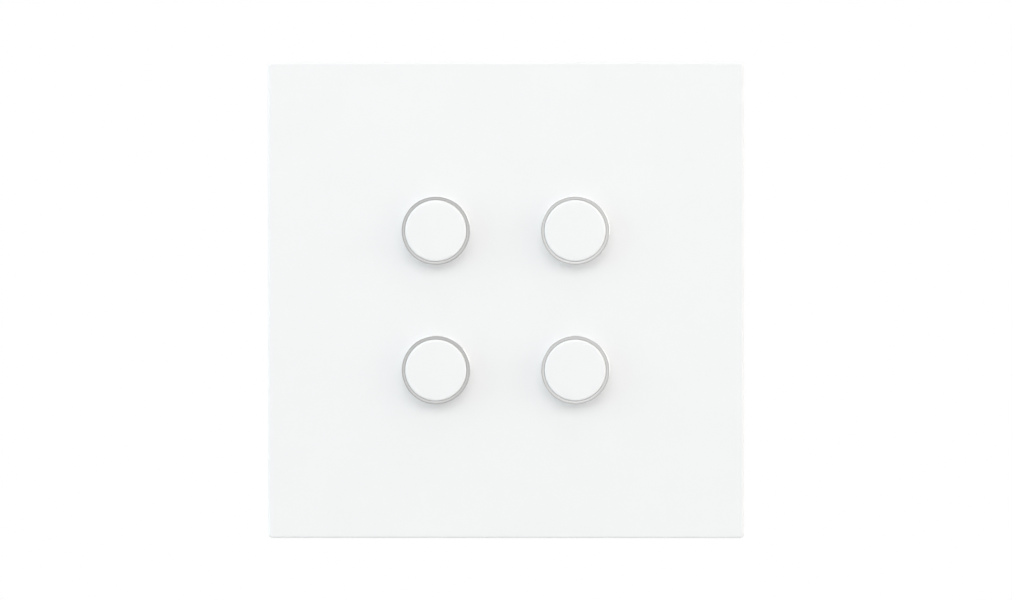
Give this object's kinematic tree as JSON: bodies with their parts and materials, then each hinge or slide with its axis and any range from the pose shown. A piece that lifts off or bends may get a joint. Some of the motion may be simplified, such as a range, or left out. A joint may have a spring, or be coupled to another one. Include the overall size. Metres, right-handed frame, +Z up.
{
  "type": "smart switch panel",
  "caption": "Square white wall switch panel whose round push buttons, each in a thin satin metal ring, work relays in a flush box behind it.",
  "frame": {"origin": "midpoint between the two wall-box screws, in the plane of the wall", "axes": "+Z up, +X to the right as seen from the room, +Y into the wall; the buttons face -Y"},
  "size_m": [0.086, 0.0376, 0.086],
  "materials": {
    "plate_white": "matte white, fine moulded grain",
    "cap_white": "matte white",
    "bezel_metal": "satin, turned",
    "carrier_plastic": "natural moulding",
    "board_laminate": "green solder mask",
    "switch_plastic": "black moulding",
    "plunger_plastic": "ivory moulding",
    "led_resin": "clear resin",
    "shield_steel": "tinned",
    "connector_plastic": "black moulding",
    "yoke_steel": "zinc plated",
    "housing_plastic": "dark grey, spark texture",
    "relay_plastic": "black case",
    "supply_plastic": "black potted case",
    "capacitor_plastic": "yellow case",
    "fuse_plastic": "brown case",
    "terminal_plastic": "grey moulding",
    "clamp_metal": "plain",
    "screw_steel": "zinc plated"
  },
  "bodies": {
    "panel": {"face_plate": "plate_white", "bezel_upper_left": "bezel_metal", "bezel_upper_right": "bezel_metal", "bezel_lower_left": "bezel_metal", "bezel_lower_right": "bezel_metal", "button_carrier": "carrier_plastic", "control_board": "board_laminate", "power_board": "board_laminate", "radio_board": "board_laminate", "tact_switch_upper_left": "switch_plastic", "tact_switch_upper_right": "switch_plastic", "tact_switch_lower_left": "switch_plastic", "tact_switch_lower_right": "switch_plastic", "status_leds": "led_resin", "radio_shield": "shield_steel", "board_socket": "connector_plastic", "board_header": "connector_plastic", "mounting_yoke": "yoke_steel", "rear_housing": "housing_plastic", "housing_lid": "housing_plastic", "relay_1": "relay_plastic", "relay_2": "relay_plastic", "relay_3": "relay_plastic", "relay_4": "relay_plastic", "supply_module": "supply_plastic", "noise_capacitor": "capacitor_plastic", "fuse": "fuse_plastic", "terminal_block": "terminal_plastic", "terminal_clamps": "clamp_metal", "terminal_screws": "screw_steel"},
    "button_upper_left": {"button_cap_upper_left": "cap_white", "switch_plunger_upper_left": "plunger_plastic"},
    "button_upper_right": {"button_cap_upper_right": "cap_white", "switch_plunger_upper_right": "plunger_plastic"},
    "button_lower_left": {"button_cap_lower_left": "cap_white", "switch_plunger_lower_left": "plunger_plastic"},
    "button_lower_right": {"button_cap_lower_right": "cap_white", "switch_plunger_lower_right": "plunger_plastic"}
  },
  "joints": [
    {"name": "press_upper_left", "type": "slide", "parent": "panel", "child": "button_upper_left", "axis": [0, 1, 0], "range_m": [0, 0.0008], "stiffness_N_per_m": 2500, "springref_m": -0.00025},
    {"name": "press_upper_right", "type": "slide", "parent": "panel", "child": "button_upper_right", "axis": [0, 1, 0], "range_m": [0, 0.0008], "stiffness_N_per_m": 2500, "springref_m": -0.00025},
    {"name": "press_lower_left", "type": "slide", "parent": "panel", "child": "button_lower_left", "axis": [0, 1, 0], "range_m": [0, 0.0008], "stiffness_N_per_m": 2500, "springref_m": -0.00025},
    {"name": "press_lower_right", "type": "slide", "parent": "panel", "child": "button_lower_right", "axis": [0, 1, 0], "range_m": [0, 0.0008], "stiffness_N_per_m": 2500, "springref_m": -0.00025}
  ]
}
